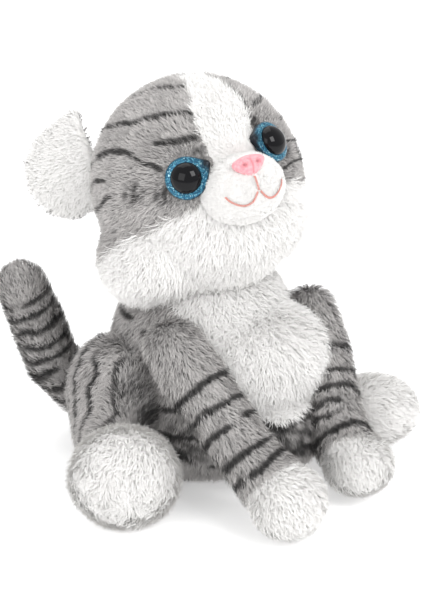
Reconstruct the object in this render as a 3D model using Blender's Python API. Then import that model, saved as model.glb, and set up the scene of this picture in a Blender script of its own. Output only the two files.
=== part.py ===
"""A seated plush kitten: sewn fur-fabric covers round loose stuffing, set eyes and embroidered face.

Metres, +Z up. The kitten faces -Y and its right side is -X. Every cover is a shell of fur fabric that is
open where it is sewn on, every filling is a solid of its own, and each limb hangs from an empty on its seam.
"""

import math

import bmesh
import bpy
from mathutils import Euler, Matrix, Vector

MM = 0.001

# Overall place of the kitten's middle plane, so that the origin is under the middle of its box.
MIDDLE_X = 0.05 * MM
MIDDLE_Y = -0.4 * MM

# Fabric, seams and fits.
COVER = 4.0 * MM        # fur fabric with its pressed pile
SHORT_COVER = 2.5 * MM  # the muzzle's short fabric
EAR_PANEL = 3.0 * MM
SEAM = 0.5 * MM         # between two panels
FIT = 0.35 * MM         # between a cover and what it holds
FLEX = 1.4 * MM         # between a moving limb and what it is sewn to

# Torso: (height, half width), a round body squeezed from front to back.
TORSO_PROFILE = [(0, 38), (5, 46), (18, 53), (40, 56), (62, 53), (80, 48), (92, 42), (102, 32), (108, 14)]
TORSO_DEPTH = 0.90      # half depth over half width
TORSO_Y = 22 * MM
SEAT_TOP = 9 * MM
POUCH_TOP = 24 * MM
CHEST = Vector((9, -9, 57)) * MM           # the stuffed bulge that the bib covers
CHEST_RADII = Vector((46, 33, 35)) * MM
BIB_OUTLINE = [(-35, 112), (-35, 84), (-31, 64), (-23, 49), (-9, 41)]

# Neck and head.
NECK = Vector((0, 28, 88.5)) * MM
NECK_RADIUS = 11 * MM
NECK_DEPTH = 18 * MM
CUP_RADIUS = 75 * MM    # the hollow that the head's underside leaves in the torso's top
HEAD_CENTRE = Vector((0, 28, 144)) * MM
HEAD_RADII = Vector((52, 53, 54.5)) * MM
HEAD_TURN = Euler((math.radians(-31), math.radians(-3), math.radians(-8)), "ZXY")
CHIN_TOP = -12 * MM     # where the white cheeks meet the grey, at the face
CHIN_SLOPE = math.radians(16)
BLAZE_HALF = 11 * MM
BLAZE_FLARE = 5 * MM
BLAZE_BACK = 20 * MM

# Face, in the head's own frame.
MUZZLE_CENTRE = Vector((0, -45, -13)) * MM
MUZZLE_RADII = Vector((22, 18, 17.5)) * MM
NOSE_AT = Vector((0, -61.5, -5)) * MM
NOSE_RADII = Vector((8.5, 4.5, 5)) * MM
THREAD = 0.6 * MM
EYE_SIDES = {"right": (-25.5, -1.0), "left": (21.5, 3.5)}
RING_RADIUS = 10.2 * MM
RING_THICK = 1.2 * MM
PUPIL_RADIUS = 7.5 * MM
PUPIL_HEIGHT = 5.2 * MM
POST_RADIUS = 2.4 * MM
POST_LENGTH = 11 * MM
WASHER_RADIUS = 6.5 * MM
WASHER_THICK = 2.0 * MM

# Ears, in the head's own frame: the middle of the seam, then the turn that stands the ear up.
EAR_SEAM = Vector((34, 24, 33)) * MM
EAR_HALF_WIDTH = 25 * MM
EAR_HEIGHT = 42 * MM
EAR_CUP = 9 * MM
EAR_LEAN = math.radians(100)
EAR_SWEEP = math.radians(50)

# Limbs: (x, y, z, radius) along each one, given for the kitten's left side or as they lie.
FORELEGS = {
    "right": [(-42, -10, 80, 17.5), (-39.5, -20, 70, 18.5), (-35, -38, 53, 17.5), (-31, -56, 37, 17.5),
              (-27, -68, 27, 19)],
    "left": [(47.5, -3, 76, 16.5), (45, -17, 60, 17), (37.5, -32, 43, 17.5), (31.5, -45, 31, 18),
             (29, -56, 24, 18)],
}
FOREPAWS = {
    "right": {"at": (-25, -79, 21), "radii": (22.5, 21.5, 21.6)},
    "left": {"at": (30, -65, 18.5), "radii": (21.5, 20.5, 18.8)},
}
SHOULDERS = {"right": (-40, -15, 74), "left": (46, -3, 73)}
CUFF = 0.74             # how far from the elbow to the paw the white fabric starts
HAUNCHES = {"right": Vector((-51, 26, 42)) * MM, "left": Vector((52, 31, 41)) * MM}
HAUNCH_RADII = Vector((25, 33, 36)) * MM
HIP = Vector((48, 30, 36)) * MM
FEET = {
    "right": {"at": (-79, -22, 26.3), "radii": (28, 20, 27), "turn": (0, 0, -38)},
    "left": {"at": (79, -19, 17.6), "radii": (26, 24, 18), "turn": (0, 0, 40)},
}
SHANKS = {
    "right": [(-50, 34, 28, 23), (-59, 16, 27, 23), (-68, 0, 26, 21), (-75, -14, 26, 20)],
    "left": [(52, 36, 26, 22), (60, 19, 22, 19), (68, 3, 18.5, 17), (74.5, -11, 17.5, 16)],
}
TAIL = [(4, 60, 24, 13), (-16, 73, 19, 14), (-38, 82, 24, 14.5), (-52, 86, 42, 14.5), (-59, 87, 64, 14.5),
        (-67, 88, 86, 13.5)]
TAIL_ROOT = Vector((-2, 64, 22)) * MM

# Joint ranges in degrees. The clearances are cut with these, and the record gives them.
FORELEG_RANGES = {"right": (-20, 6), "left": (-20, 3)}
HINDLEG_RANGES = {"right": (-18, 4), "left": (-5, 3)}
TAIL_RANGE = (-24, 5)
EAR_RANGE = (-10, 14)

COLOURS = {
    "grey_fur": (0.36, 0.35, 0.34),
    "white_fur": (0.86, 0.85, 0.82),
    "short_white": (0.90, 0.87, 0.84),
    "pink_fabric": (0.86, 0.45, 0.47),
    "pink_thread": (0.72, 0.36, 0.34),
    "fibre_fill": (0.93, 0.93, 0.92),
    "pellet_bag": (0.80, 0.78, 0.72),
    "eye_black": (0.01, 0.01, 0.012),
    "eye_glitter": (0.16, 0.47, 0.62),
    "washer_plastic": (0.75, 0.75, 0.73),
}

toy = bpy.data.collections.new("plush_kitten")
cutters = bpy.data.collections.new("cutters")
cutters.hide_render = True


def clear_scene():
    for obj in list(bpy.data.objects):
        bpy.data.objects.remove(obj, do_unlink=True)
    bpy.context.scene.collection.children.link(toy)
    bpy.context.scene.collection.children.link(cutters)


def material(slot):
    made = bpy.data.materials.get(slot)
    if made:
        return made
    made = bpy.data.materials.new(slot)
    made.use_nodes = True
    shader = made.node_tree.nodes["Principled BSDF"]
    shader.inputs["Base Color"].default_value = (*COLOURS[slot], 1)
    shader.inputs["Roughness"].default_value = 0.15 if slot == "eye_black" else 0.85
    return made


def add(name, mesh, slot=None):
    """An object of this mesh: a piece of the toy if it has a material slot, and a cutter if it has none."""
    obj = bpy.data.objects.new(name, mesh)
    if slot:
        toy.objects.link(obj)
        mesh.materials.append(material(slot))
    else:
        cutters.objects.link(obj)
        obj.parent = root
        obj.hide_render = True
        obj.display_type = "WIRE"
    return obj


def mesh_from(bm, name):
    bmesh.ops.recalc_face_normals(bm, faces=bm.faces)
    if bm.calc_volume(signed=True) < 0:
        bmesh.ops.reverse_faces(bm, faces=bm.faces)
    mesh = bpy.data.meshes.new(name)
    bm.to_mesh(mesh)
    bm.free()
    return mesh


def ball(name, centre, radii, slot=None, turn=None, segments=16, rings=10):
    bm = bmesh.new()
    bmesh.ops.create_uvsphere(bm, u_segments=segments, v_segments=rings, radius=1)
    bm.transform(Matrix.Diagonal((*radii, 1)))
    if turn:
        bm.transform(Euler([math.radians(a) for a in turn]).to_matrix().to_4x4())
    bm.transform(Matrix.Translation(centre))
    return add(name, mesh_from(bm, name), slot)


def block(name, low, high, slot=None):
    bm = bmesh.new()
    bmesh.ops.create_cube(bm, size=1)
    size = Vector(high) - Vector(low)
    bm.transform(Matrix.Diagonal((*size, 1)))
    bm.transform(Matrix.Translation((Vector(high) + Vector(low)) / 2))
    return add(name, mesh_from(bm, name), slot)


def drum(name, base, top, radius, slot=None, end_radius=None, segments=24):
    """A cylinder or a cone from one point to another."""
    along = Vector(top) - Vector(base)
    bm = bmesh.new()
    bmesh.ops.create_cone(bm, cap_ends=True, segments=segments, radius1=radius,
                          radius2=radius if end_radius is None else end_radius, depth=along.length)
    bm.transform(Vector((0, 0, 1)).rotation_difference(along).to_matrix().to_4x4())
    bm.transform(Matrix.Translation(Vector(base) + along / 2))
    return add(name, mesh_from(bm, name), slot)


def smooth_path(stations, steps=2):
    """Stations read from a Catmull-Rom curve through the given ones."""
    points = [Vector(s) for s in stations]
    points = [2 * points[0] - points[1], *points, 2 * points[-1] - points[-2]]
    made = []
    for i in range(1, len(points) - 2):
        before, start, end, after = points[i - 1:i + 3]
        for step in range(steps):
            t = step / steps
            bend = 2 * before - 5 * start + 4 * end - after
            made.append(0.5 * (2 * start + (end - before) * t + bend * t * t
                               + (3 * start - before - 3 * end + after) * t ** 3))
    return [*made, points[-2]]


def tube(name, stations, grow=0.0, slot=None, ends=(True, True), sides_resolution=3):
    """A bevelled curve through stations in millimetres, with round ends where they are asked for."""
    path = smooth_path([Vector(s) * MM for s in stations])
    path = [Vector((*p[:3], p[3] + grow)) for p in path]
    for end in (0, -1):
        if not ends[end]:
            continue
        tip = path[end]
        along = (Vector(tip[:3]) - Vector(path[1 if end == 0 else -2][:3])).normalized()
        cap = []
        for step in range(1, 4):
            lean = math.radians(28 * step)
            at = Vector(tip[:3]) + along * tip[3] * math.sin(lean)
            cap.append(Vector((*at, tip[3] * math.cos(lean))))
        path = cap[::-1] + path if end == 0 else path + cap
    curve = bpy.data.curves.new(name, "CURVE")
    curve.dimensions = "3D"
    curve.bevel_depth = 1.0
    curve.bevel_resolution = sides_resolution
    curve.use_fill_caps = True
    line = curve.splines.new("POLY")
    line.points.add(len(path) - 1)
    for point, place in zip(line.points, path):
        point.co = (*place[:3], 1)
        point.radius = place[3]
    drawn = bpy.data.objects.new(name + "_line", curve)
    bm = bmesh.new()
    bm.from_mesh(bpy.data.meshes.new_from_object(drawn))
    bpy.data.objects.remove(drawn)
    bmesh.ops.remove_doubles(bm, verts=bm.verts, dist=1e-5)
    return add(name, mesh_from(bm, name), slot)


def turned_torso(name, inset, slot=None, steps=28):
    """The torso's profile turned about the vertical and squeezed in depth, drawn in by an inset."""
    rows = []
    for height, half in TORSO_PROFILE:
        rows.append([height * MM, half * MM])
    low, high = rows[0][0] + inset, rows[-1][0] - inset
    rows = [[min(max(z, low), high), r - inset] for z, r in rows if r > inset]
    kept = [rows[0], *[row for row in rows[1:-1] if low + 1e-4 < row[0] < high - 1e-4], rows[-1]]
    kept[-1][0] = high
    bm = bmesh.new()
    line = [bm.verts.new((0, 0, kept[0][0])), *[bm.verts.new((r, 0, z)) for z, r in kept],
            bm.verts.new((0, 0, kept[-1][0]))]
    for a, b in zip(line, line[1:]):
        bm.edges.new((a, b))
    bmesh.ops.spin(bm, geom=bm.verts[:] + bm.edges[:], cent=(0, 0, 0), axis=(0, 0, 1),
                   angle=2 * math.pi, steps=steps, use_merge=True)
    bmesh.ops.remove_doubles(bm, verts=bm.verts, dist=1e-5)
    depth = TORSO_DEPTH
    bm.transform(Matrix.Diagonal((1, depth, 1, 1)))
    bm.transform(Matrix.Translation((0, TORSO_Y, 0)))
    return add(name, mesh_from(bm, name), slot)


def stuffed_torso(name, inset):
    """The turned torso with the chest's bulge in front of it, drawn in by an inset."""
    made = turned_torso(f"{name}_turned", inset)
    join(made, ball(f"{name}_chest", CHEST, CHEST_RADII - Vector((inset,) * 3), segments=24, rings=14))
    return frozen(made, name)


def prism(name, outline, near, far, slot=None):
    """An outline in X and Z, in millimetres, extruded along Y."""
    bm = bmesh.new()
    face = bm.faces.new([bm.verts.new((x * MM, near, z * MM)) for x, z in outline])
    side = bmesh.ops.extrude_face_region(bm, geom=[face])
    moved = [g for g in side["geom"] if isinstance(g, bmesh.types.BMVert)]
    bmesh.ops.translate(bm, verts=moved, vec=(0, far - near, 0))
    return add(name, mesh_from(bm, name), slot)


def twin(obj, name, slot=None):
    """A second object with its own copy of the mesh and of the cuts."""
    mesh = obj.data.copy()
    mesh.materials.clear()
    made = add(name, mesh, slot)
    for old in obj.modifiers:
        new = made.modifiers.new(old.name, "BOOLEAN")
        new.operation = old.operation
        new.solver = "EXACT"
        new.object = old.object
    return made


def cut(obj, *tools):
    for tool in tools:
        step = obj.modifiers.new(tool.name, "BOOLEAN")
        step.operation = "DIFFERENCE"
        step.solver = "EXACT"
        step.object = tool


def keep(obj, *tools):
    for tool in tools:
        step = obj.modifiers.new(tool.name, "BOOLEAN")
        step.operation = "INTERSECT"
        step.solver = "EXACT"
        step.object = tool


def join(obj, *tools):
    for tool in tools:
        step = obj.modifiers.new(tool.name, "BOOLEAN")
        step.operation = "UNION"
        step.solver = "EXACT"
        step.object = tool


def pivot(name, place, parent=None):
    """An empty at a place in the kitten's own frame."""
    made = bpy.data.objects.new(name, None)
    made.empty_display_size = 0.02
    toy.objects.link(made)
    made.parent = parent
    made.location = place - (Vector(parent["place"]) if parent else Vector((0, 0, 0)))
    made["place"] = place
    return made


def hang(parent, *objects):
    """Gives each object its origin on the parent's joint, with its shape left where it is."""
    place = Vector(parent["place"])
    for obj in objects:
        obj.data.transform(Matrix.Translation(-place))
        obj.parent = parent


def frozen(obj, name, turn=None):
    """A cutter with the shape that another object's cuts leave, turned if asked."""
    bpy.context.view_layer.update()
    graph = bpy.context.evaluated_depsgraph_get()
    mesh = bpy.data.meshes.new_from_object(obj.evaluated_get(graph))
    mesh.transform(obj.matrix_world)
    if turn:
        mesh.transform(turn)
    return add(name, mesh)


def about(point, axis, degrees):
    return (Matrix.Translation(point) @ Matrix.Rotation(math.radians(degrees), 4, axis)
            @ Matrix.Translation(-point))


def side_point(point, side):
    return Vector((-point.x, point.y, point.z)) if side == "right" else point.copy()


def swept_clear(pieces, body, name, at, axis, degrees):
    """Trims a limb's pieces so that it can swing through its range beside the body."""
    low, high = degrees
    for step, angle in enumerate((low, low / 2, 0, high)):
        shape = frozen(body, f"{name}_clear_{step}", about(at, axis, -angle))
        for piece in pieces:
            cut(piece, shape)


clear_scene()
root = pivot("torso_seams", Vector((0, 0, 0)))
floor = block("floor", (-0.3, -0.3, -0.1), (0.3, 0.3, 0.0))

# ---------------------------------------------------------------- torso
torso_inner = stuffed_torso("torso_inner", COVER)
torso_core = stuffed_torso("torso_core", COVER + FIT)
torso_grown = stuffed_torso("torso_grown", -FLEX)
cup_centre = NECK + Vector((0, 0, CUP_RADIUS - 2.5 * MM))
cup = ball("head_cup", cup_centre, (CUP_RADIUS,) * 3, segments=32, rings=32)
neck_bore = drum("neck_bore", NECK - Vector((0, 0, NECK_DEPTH + FIT)), NECK + Vector((0, 0, 0.02)),
                 NECK_RADIUS + FIT)
shell = stuffed_torso("torso_shell", 0.0)
cut(shell, torso_inner, cup, neck_bore)
shell = frozen(shell, "torso_shell_cut")

seat_block = block("seat_block", (-0.1, -0.1, -0.1), (0.1, 0.15, SEAT_TOP))
seat_gap = block("seat_gap", (-0.1, -0.1, -0.1), (0.1, 0.15, SEAT_TOP + SEAM))
outline = [*BIB_OUTLINE, *[(-x, z) for x, z in reversed(BIB_OUTLINE)]]
bib_prism = prism("bib_prism", outline, -0.08, TORSO_Y - 0.012)
gap_mm = SEAM / MM
wide = [(x - gap_mm if x < 0 else x + gap_mm, z + gap_mm if z > 100 else z - gap_mm) for x, z in outline]
bib_gap = prism("bib_gap", wide, -0.081, TORSO_Y - 0.012 + SEAM)
right_half = block("right_half", (-0.2, -0.2, -0.01), (-SEAM / 2, 0.2, 0.2))
left_half = block("left_half", (SEAM / 2, -0.2, -0.01), (0.2, 0.2, 0.2))

seat = twin(shell, "seat_panel", "grey_fur")
keep(seat, seat_block)
bib = twin(shell, "chest_bib", "white_fur")
keep(bib, bib_prism)
cut(bib, seat_gap)
torso_panels = {}
for side, half in (("right", right_half), ("left", left_half)):
    panel = twin(shell, f"torso_{side}_panel", "grey_fur")
    keep(panel, half)
    cut(panel, bib_gap, seat_gap)
    torso_panels[side] = panel
pouch_block = block("pouch_block", (-0.1, -0.1, -0.1), (0.1, 0.15, POUCH_TOP))
pouch_gap = block("pouch_gap", (-0.1, -0.1, -0.1), (0.1, 0.15, POUCH_TOP + FIT))
pouch = twin(torso_core, "pellet_pouch", "pellet_bag")
keep(pouch, pouch_block)
torso_fill = twin(torso_core, "torso_stuffing", "fibre_fill")
cut(torso_fill, pouch_gap, cup, neck_bore)
hang(root, seat, bib, *torso_panels.values(), pouch, torso_fill)

# ---------------------------------------------------------------- neck
neck_joint = pivot("head_turn", NECK, root)
neck = drum("neck_stuffing", NECK - Vector((0, 0, NECK_DEPTH)), NECK, NECK_RADIUS, "fibre_fill")
neck_dome = ball("neck_dome", NECK, (NECK_RADIUS,) * 3, segments=24, rings=16)
join(neck, neck_dome)
hang(neck_joint, neck)

# ---------------------------------------------------------------- head
head_joint = pivot("head_nod", NECK, neck_joint)
head_pose = Matrix.Translation(HEAD_CENTRE) @ HEAD_TURN.to_matrix().to_4x4()
neck_hollow = ball("neck_hollow", NECK, (NECK_RADIUS + FIT,) * 3, segments=24, rings=16)


def in_head(*objects):
    for obj in objects:
        obj.data.transform(head_pose)
        obj.data.update()


def head_ball(name, inset, slot=None):
    made = ball(name, (0, 0, 0), HEAD_RADII - Vector((inset,) * 3), slot, segments=28, rings=16)
    in_head(made)
    return made


def on_head(x, z, out=0.0):
    """A point on the front of the head's surface in the head's frame, and the outward direction there."""
    rx, ry, rz = HEAD_RADII
    y = -ry * math.sqrt(1 - (x / rx) ** 2 - (z / rz) ** 2)
    normal = Vector((x / rx ** 2, y / ry ** 2, z / rz ** 2)).normalized()
    return Vector((x, y, z)) + normal * out, normal


head_inner = head_ball("head_inner", COVER)
head_grown = head_ball("head_grown", -FIT)
head_shell = head_ball("head_shell", 0.0)
cut(head_shell, head_inner, neck_hollow)
head_shell = frozen(head_shell, "head_shell_cut")
head_fill = head_ball("head_stuffing", COVER + FIT, "fibre_fill")
cut(head_fill, neck_hollow)

chin_turn = Matrix.Translation((0, -0.05, CHIN_TOP)) @ Matrix.Rotation(CHIN_SLOPE, 4, "X")
chin_block = block("chin_block", (-0.1, -0.05, -0.12), (0.1, 0.15, 0.0))
chin_gap = block("chin_gap", (-0.1, -0.05, -0.12), (0.1, 0.15, SEAM))
for made in (chin_block, chin_gap):
    made.data.transform(chin_turn)
blaze = [(-BLAZE_HALF / MM, -30), (-BLAZE_HALF / MM, 12), (-(BLAZE_HALF + BLAZE_FLARE) / MM, 80)]
blaze = [*blaze, *[(-x, z) for x, z in reversed(blaze)]]
blaze_prism = prism("blaze_prism", blaze, -0.09, BLAZE_BACK)
wide = [(x - gap_mm if x < 0 else x + gap_mm, z) for x, z in blaze]
blaze_gap = prism("blaze_gap", wide, -0.091, BLAZE_BACK + SEAM)
head_right = block("head_right_half", (-0.2, -0.2, -0.2), (-SEAM / 2, 0.2, 0.2))
head_left = block("head_left_half", (SEAM / 2, -0.2, -0.2), (0.2, 0.2, 0.2))
in_head(chin_block, chin_gap, blaze_prism, blaze_gap, head_right, head_left)

chin = twin(head_shell, "cheek_chin_panel", "white_fur")
keep(chin, chin_block)
forehead = twin(head_shell, "forehead_blaze", "white_fur")
keep(forehead, blaze_prism)
cut(forehead, chin_gap)
head_panels = {}
for side, half in (("right", head_right), ("left", head_left)):
    panel = twin(head_shell, f"head_{side}_panel", "grey_fur")
    keep(panel, half)
    cut(panel, chin_gap, blaze_gap)
    head_panels[side] = panel
hang(head_joint, chin, forehead, *head_panels.values(), head_fill)

# ---------------------------------------------------------------- muzzle, nose and mouth
muzzle_inner = ball("muzzle_inner", MUZZLE_CENTRE, MUZZLE_RADII - Vector((SHORT_COVER,) * 3))
muzzle = ball("muzzle_cover", MUZZLE_CENTRE, MUZZLE_RADII, "short_white")
muzzle_fill = ball("muzzle_stuffing", MUZZLE_CENTRE, MUZZLE_RADII - Vector((SHORT_COVER + FIT,) * 3),
                   "fibre_fill")
nose_seat = ball("nose_seat", MUZZLE_CENTRE, MUZZLE_RADII + Vector((FIT,) * 3))
nose = ball("nose_patch", NOSE_AT, NOSE_RADII, "pink_fabric", segments=20, rings=12)


def on_muzzle(x, z, out):
    """A point on the front of the muzzle in the head's frame, x and z in millimetres from its middle."""
    rx, ry, rz = MUZZLE_RADII + Vector((out,) * 3)
    drop = max(0.0, 1 - (x * MM / rx) ** 2 - (z * MM / rz) ** 2)
    return MUZZLE_CENTRE + Vector((x * MM, -ry * math.sqrt(drop), z * MM))


MOUTH_LINE = [(-13.5, -5.5), (-11, -8.2), (-7.5, -9.6), (-3.8, -8.6), (-0.6, -5.2), (0.6, -5.2),
              (3.8, -8.6), (7.5, -9.6), (11, -8.2), (13.5, -5.5)]
lift = THREAD + FIT
line = [(*(on_muzzle(x, z, lift) / MM), THREAD / MM) for x, z in MOUTH_LINE]
mouth = tube("mouth_stitching", line, slot="pink_thread", sides_resolution=2)
drop_line = [(*(on_muzzle(0, z, lift) / MM), THREAD / MM) for z in (-0.5, -2.8, -5.6)]
mouth_drop = tube("mouth_drop", drop_line, sides_resolution=2)
in_head(muzzle_inner, muzzle, muzzle_fill, nose_seat, nose, mouth, mouth_drop)
join(mouth, mouth_drop)
cut(muzzle, muzzle_inner, head_grown)
cut(muzzle_fill, head_grown)
cut(nose, nose_seat)
hang(head_joint, muzzle, muzzle_fill, nose, mouth)

# ---------------------------------------------------------------- eyes
for side, (x, z) in EYE_SIDES.items():
    at, out = on_head(x * MM, z * MM)
    base = at + out * FIT
    ring = drum(f"{side}_eye_glitter_ring", base, base + out * RING_THICK, RING_RADIUS, "eye_glitter",
                segments=32)
    inward = Vector((-math.copysign(1, x), 0, 0.25))
    inward = (inward - out * inward.dot(out)).normalized()
    corner = drum(f"{side}_corner", base + inward * (RING_RADIUS + 3.4 * MM),
                  base + inward * RING_RADIUS * 0.5, 0.4 * MM, end_radius=7.0 * MM, segments=12)
    slab = drum(f"{side}_corner_slab", base + out * RING_THICK * 0.1, base + out * RING_THICK * 0.9,
                RING_RADIUS * 2)
    keep(corner, slab)
    bore = drum(f"{side}_post_bore", at - out * 0.03, at + out * 0.01, POST_RADIUS + FIT)
    top = base + out * (RING_THICK + FIT)
    eye = ball(f"{side}_eye", top, (PUPIL_RADIUS, PUPIL_RADIUS, PUPIL_HEIGHT), "eye_black")
    eye.data.transform(Matrix.Translation(-top))
    eye.data.transform(Vector((0, 0, 1)).rotation_difference(out).to_matrix().to_4x4())
    eye.data.transform(Matrix.Translation(top))
    back = drum(f"{side}_eye_back", top - out * 0.02, top, PUPIL_RADIUS * 1.5)
    post = drum(f"{side}_eye_post", top - out * POST_LENGTH, top + out * MM, POST_RADIUS)
    washer_at = at - out * (COVER + FIT + WASHER_RADIUS ** 2 / min(HEAD_RADII))
    washer = drum(f"{side}_eye_washer", washer_at - out * WASHER_THICK, washer_at, WASHER_RADIUS,
                  "washer_plastic")
    pocket = drum(f"{side}_washer_pocket", at - out * (POST_LENGTH + FIT), at + out * MM,
                  WASHER_RADIUS + FIT)
    flat = drum(f"{side}_eye_flat", base - out * (COVER + FIT), at + out * 0.01, RING_RADIUS * 1.45)
    in_head(ring, corner, slab, bore, eye, back, post, washer, pocket, flat)
    join(ring, corner)
    cut(ring, bore, nose_seat)
    cut(eye, back)
    join(eye, post)
    cut(washer, bore)
    for panel in (head_panels[side], forehead, chin):
        cut(panel, bore)
    cut(head_fill, pocket)
    hang(head_joint, ring, eye, washer)

# ---------------------------------------------------------------- ears
for side in ("right", "left"):
    hand = -1 if side == "right" else 1
    seam = Vector((hand * EAR_SEAM.x, EAR_SEAM.y, EAR_SEAM.z))
    stand = (Matrix.Translation(seam) @ Matrix.Rotation(hand * EAR_SWEEP, 4, "Z")
             @ Matrix.Rotation(hand * EAR_LEAN, 4, "Y"))
    middle = Vector((0, 0, EAR_HEIGHT * 0.42))
    radii = Vector((EAR_HALF_WIDTH, 2 * EAR_CUP, EAR_HEIGHT * 0.58))
    body = ball(f"{side}_ear_body", middle, radii, segments=24, rings=16)
    panels = []
    for name, back, front in (("front", 0.0, EAR_PANEL), ("back", EAR_PANEL + SEAM, 2 * EAR_PANEL + SEAM)):
        panel = ball(f"{side}_ear_{name}", middle, radii, "white_fur" if name == "front" else "grey_fur",
                     segments=24, rings=16)
        near = ball(f"{side}_ear_{name}_near", middle + Vector((0, EAR_CUP - 0.05 + back, 0)),
                    (0.045, 0.05, 0.07), segments=24, rings=24)
        far = ball(f"{side}_ear_{name}_far", middle + Vector((0, EAR_CUP - 0.05 + front, 0)),
                   (0.045, 0.05, 0.07), segments=24, rings=24)
        for made in (panel, near, far):
            made.data.transform(Matrix.Translation((0, -EAR_CUP, 0)))
            made.data.transform(stand)
        in_head(panel, near, far)
        cut(panel, near)
        keep(panel, far)
        panels.append(panel)
    body.data.transform(stand)
    in_head(body)
    seam_world = head_pose @ seam
    axis = (head_pose.to_3x3() @ (stand.to_3x3() @ Vector((1, 0, 0)))).normalized()
    clear = ball(f"{side}_ear_clear", (0, 0, 0), HEAD_RADII + Vector((FLEX,) * 3), segments=24, rings=14)
    in_head(clear)
    swept_clear(panels, clear, f"{side}_ear", seam_world, axis, EAR_RANGE)
    joint = pivot(f"{side}_ear_flex", seam_world, head_joint)
    joint["axis"] = axis
    hang(joint, *panels)

# ---------------------------------------------------------------- forelegs
foreleg_reach = {}
for side, line in FORELEGS.items():
    paw_at = Vector(FOREPAWS[side]["at"]) * MM
    paw_radii = Vector(FOREPAWS[side]["radii"]) * MM
    shoulder = Vector(SHOULDERS[side]) * MM
    elbow = Vector(line[-3][:3]) * MM
    toes = (paw_at - elbow).normalized()
    cuff_at = elbow.lerp(paw_at, CUFF)
    front = drum(f"{side}_cuff_front", cuff_at + toes * SEAM / 2, cuff_at + toes * 0.08, 0.05)
    rear = drum(f"{side}_cuff_rear", cuff_at - toes * 0.14, cuff_at - toes * SEAM / 2, 0.07)
    outer = tube(f"{side}_foreleg_outer", line)
    join(outer, ball(f"{side}_forepaw_ball", paw_at, paw_radii))
    outer = frozen(outer, f"{side}_foreleg_solid")
    inner = tube(f"{side}_foreleg_inner", line, -COVER)
    join(inner, ball(f"{side}_forepaw_inner", paw_at, paw_radii - Vector((COVER,) * 3)))
    inner = frozen(inner, f"{side}_foreleg_hollow")
    sleeve = twin(outer, f"{side}_foreleg_cover", "grey_fur")
    paw = twin(outer, f"{side}_forepaw_cover", "white_fur")
    fill = tube(f"{side}_foreleg_stuffing", line, -COVER - FIT, "fibre_fill")
    join(fill, ball(f"{side}_forepaw_core", paw_at, paw_radii - Vector((COVER + FIT,) * 3)))
    for piece in (sleeve, paw):
        cut(piece, inner, floor)
    keep(sleeve, rear)
    keep(paw, front)
    swept_clear((sleeve, fill), torso_grown, f"{side}_foreleg", shoulder, "X", FORELEG_RANGES[side])
    reach = tube(f"{side}_foreleg_line", line, FLEX)
    join(reach, ball(f"{side}_forepaw_reach", paw_at, paw_radii + Vector((FLEX,) * 3)))
    foreleg_reach[side] = frozen(reach, f"{side}_foreleg_reach")
    joint = pivot(f"{side}_foreleg_swing", shoulder, root)
    hang(joint, sleeve, paw, fill)

# ---------------------------------------------------------------- hind legs
for side in ("right", "left"):
    line = SHANKS[side]
    foot = FEET[side]
    foot_at = Vector(foot["at"]) * MM
    foot_radii = Vector(foot["radii"]) * MM
    hip = side_point(HIP, side)
    haunch = HAUNCHES[side]
    ankle = Vector(line[-1][:3]) * MM
    heel = Vector(line[-2][:3]) * MM
    along = (ankle - heel).normalized()
    cuff_at = heel.lerp(ankle, 0.55)
    front = drum(f"{side}_ankle_front", cuff_at + along * SEAM / 2, cuff_at + along * 0.09, 0.06)
    rear = drum(f"{side}_ankle_rear", cuff_at - along * 0.14, cuff_at - along * SEAM / 2, 0.09)
    shapes = {}
    for kind, inset in (("outer", 0.0), ("inner", COVER), ("core", COVER + FIT)):
        leg = tube(f"{side}_hindleg_{kind}", line, -inset)
        inset_by = Vector((inset,) * 3)
        join(leg, ball(f"{side}_haunch_{kind}", haunch, HAUNCH_RADII - inset_by),
             ball(f"{side}_foot_{kind}", foot_at, foot_radii - inset_by, turn=foot["turn"]))
        shapes[kind] = frozen(leg, f"{side}_hindleg_{kind}_solid")
    thigh = twin(shapes["outer"], f"{side}_hindleg_cover", "grey_fur")
    foot_cover = twin(shapes["outer"], f"{side}_hindfoot_cover", "white_fur")
    fill = twin(shapes["core"], f"{side}_hindleg_stuffing", "fibre_fill")
    for piece in (thigh, foot_cover):
        cut(piece, shapes["inner"], floor)
    keep(thigh, rear)
    keep(foot_cover, front)
    swept_clear((thigh, fill), torso_grown, f"{side}_hindleg", hip, "X", HINDLEG_RANGES[side])
    lifted = (-FORELEG_RANGES[side][1], -FORELEG_RANGES[side][0])
    shoulder = Vector(SHOULDERS[side]) * MM
    swept_clear((thigh, foot_cover, fill), foreleg_reach[side], f"{side}_foreleg_past", shoulder, "X",
                lifted)
    swept_clear((thigh, foot_cover, fill), foreleg_reach[side], f"{side}_hindleg_past", hip, "X",
                HINDLEG_RANGES[side])
    joint = pivot(f"{side}_hindleg_swing", hip, root)
    hang(joint, thigh, foot_cover, fill)

# ---------------------------------------------------------------- tail
tail_cover = tube("tail_cover", TAIL, slot="grey_fur")
tail_inner = tube("tail_inner", TAIL, -COVER)
tail_fill = tube("tail_stuffing", TAIL, -COVER - FIT, slot="fibre_fill")
cut(tail_cover, tail_inner)
swept_clear((tail_cover, tail_fill), torso_grown, "tail", TAIL_ROOT, "Z", TAIL_RANGE)
tail_joint = pivot("tail_sway", TAIL_ROOT, root)
hang(tail_joint, tail_cover, tail_fill)

root.location = (MIDDLE_X, MIDDLE_Y, 0)
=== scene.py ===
"""The looks of a seated plush kitten: stuffed bags under strands of fur, glossy eyes, a stitched mouth.

Lengths in the tables are in millimetres in the kitten's own frame: it faces -Y, and its right side is -X.
"""

import math

import bmesh
import bpy
import numpy as np
from mathutils import Euler, Matrix, Vector
from mathutils.kdtree import KDTree


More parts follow.
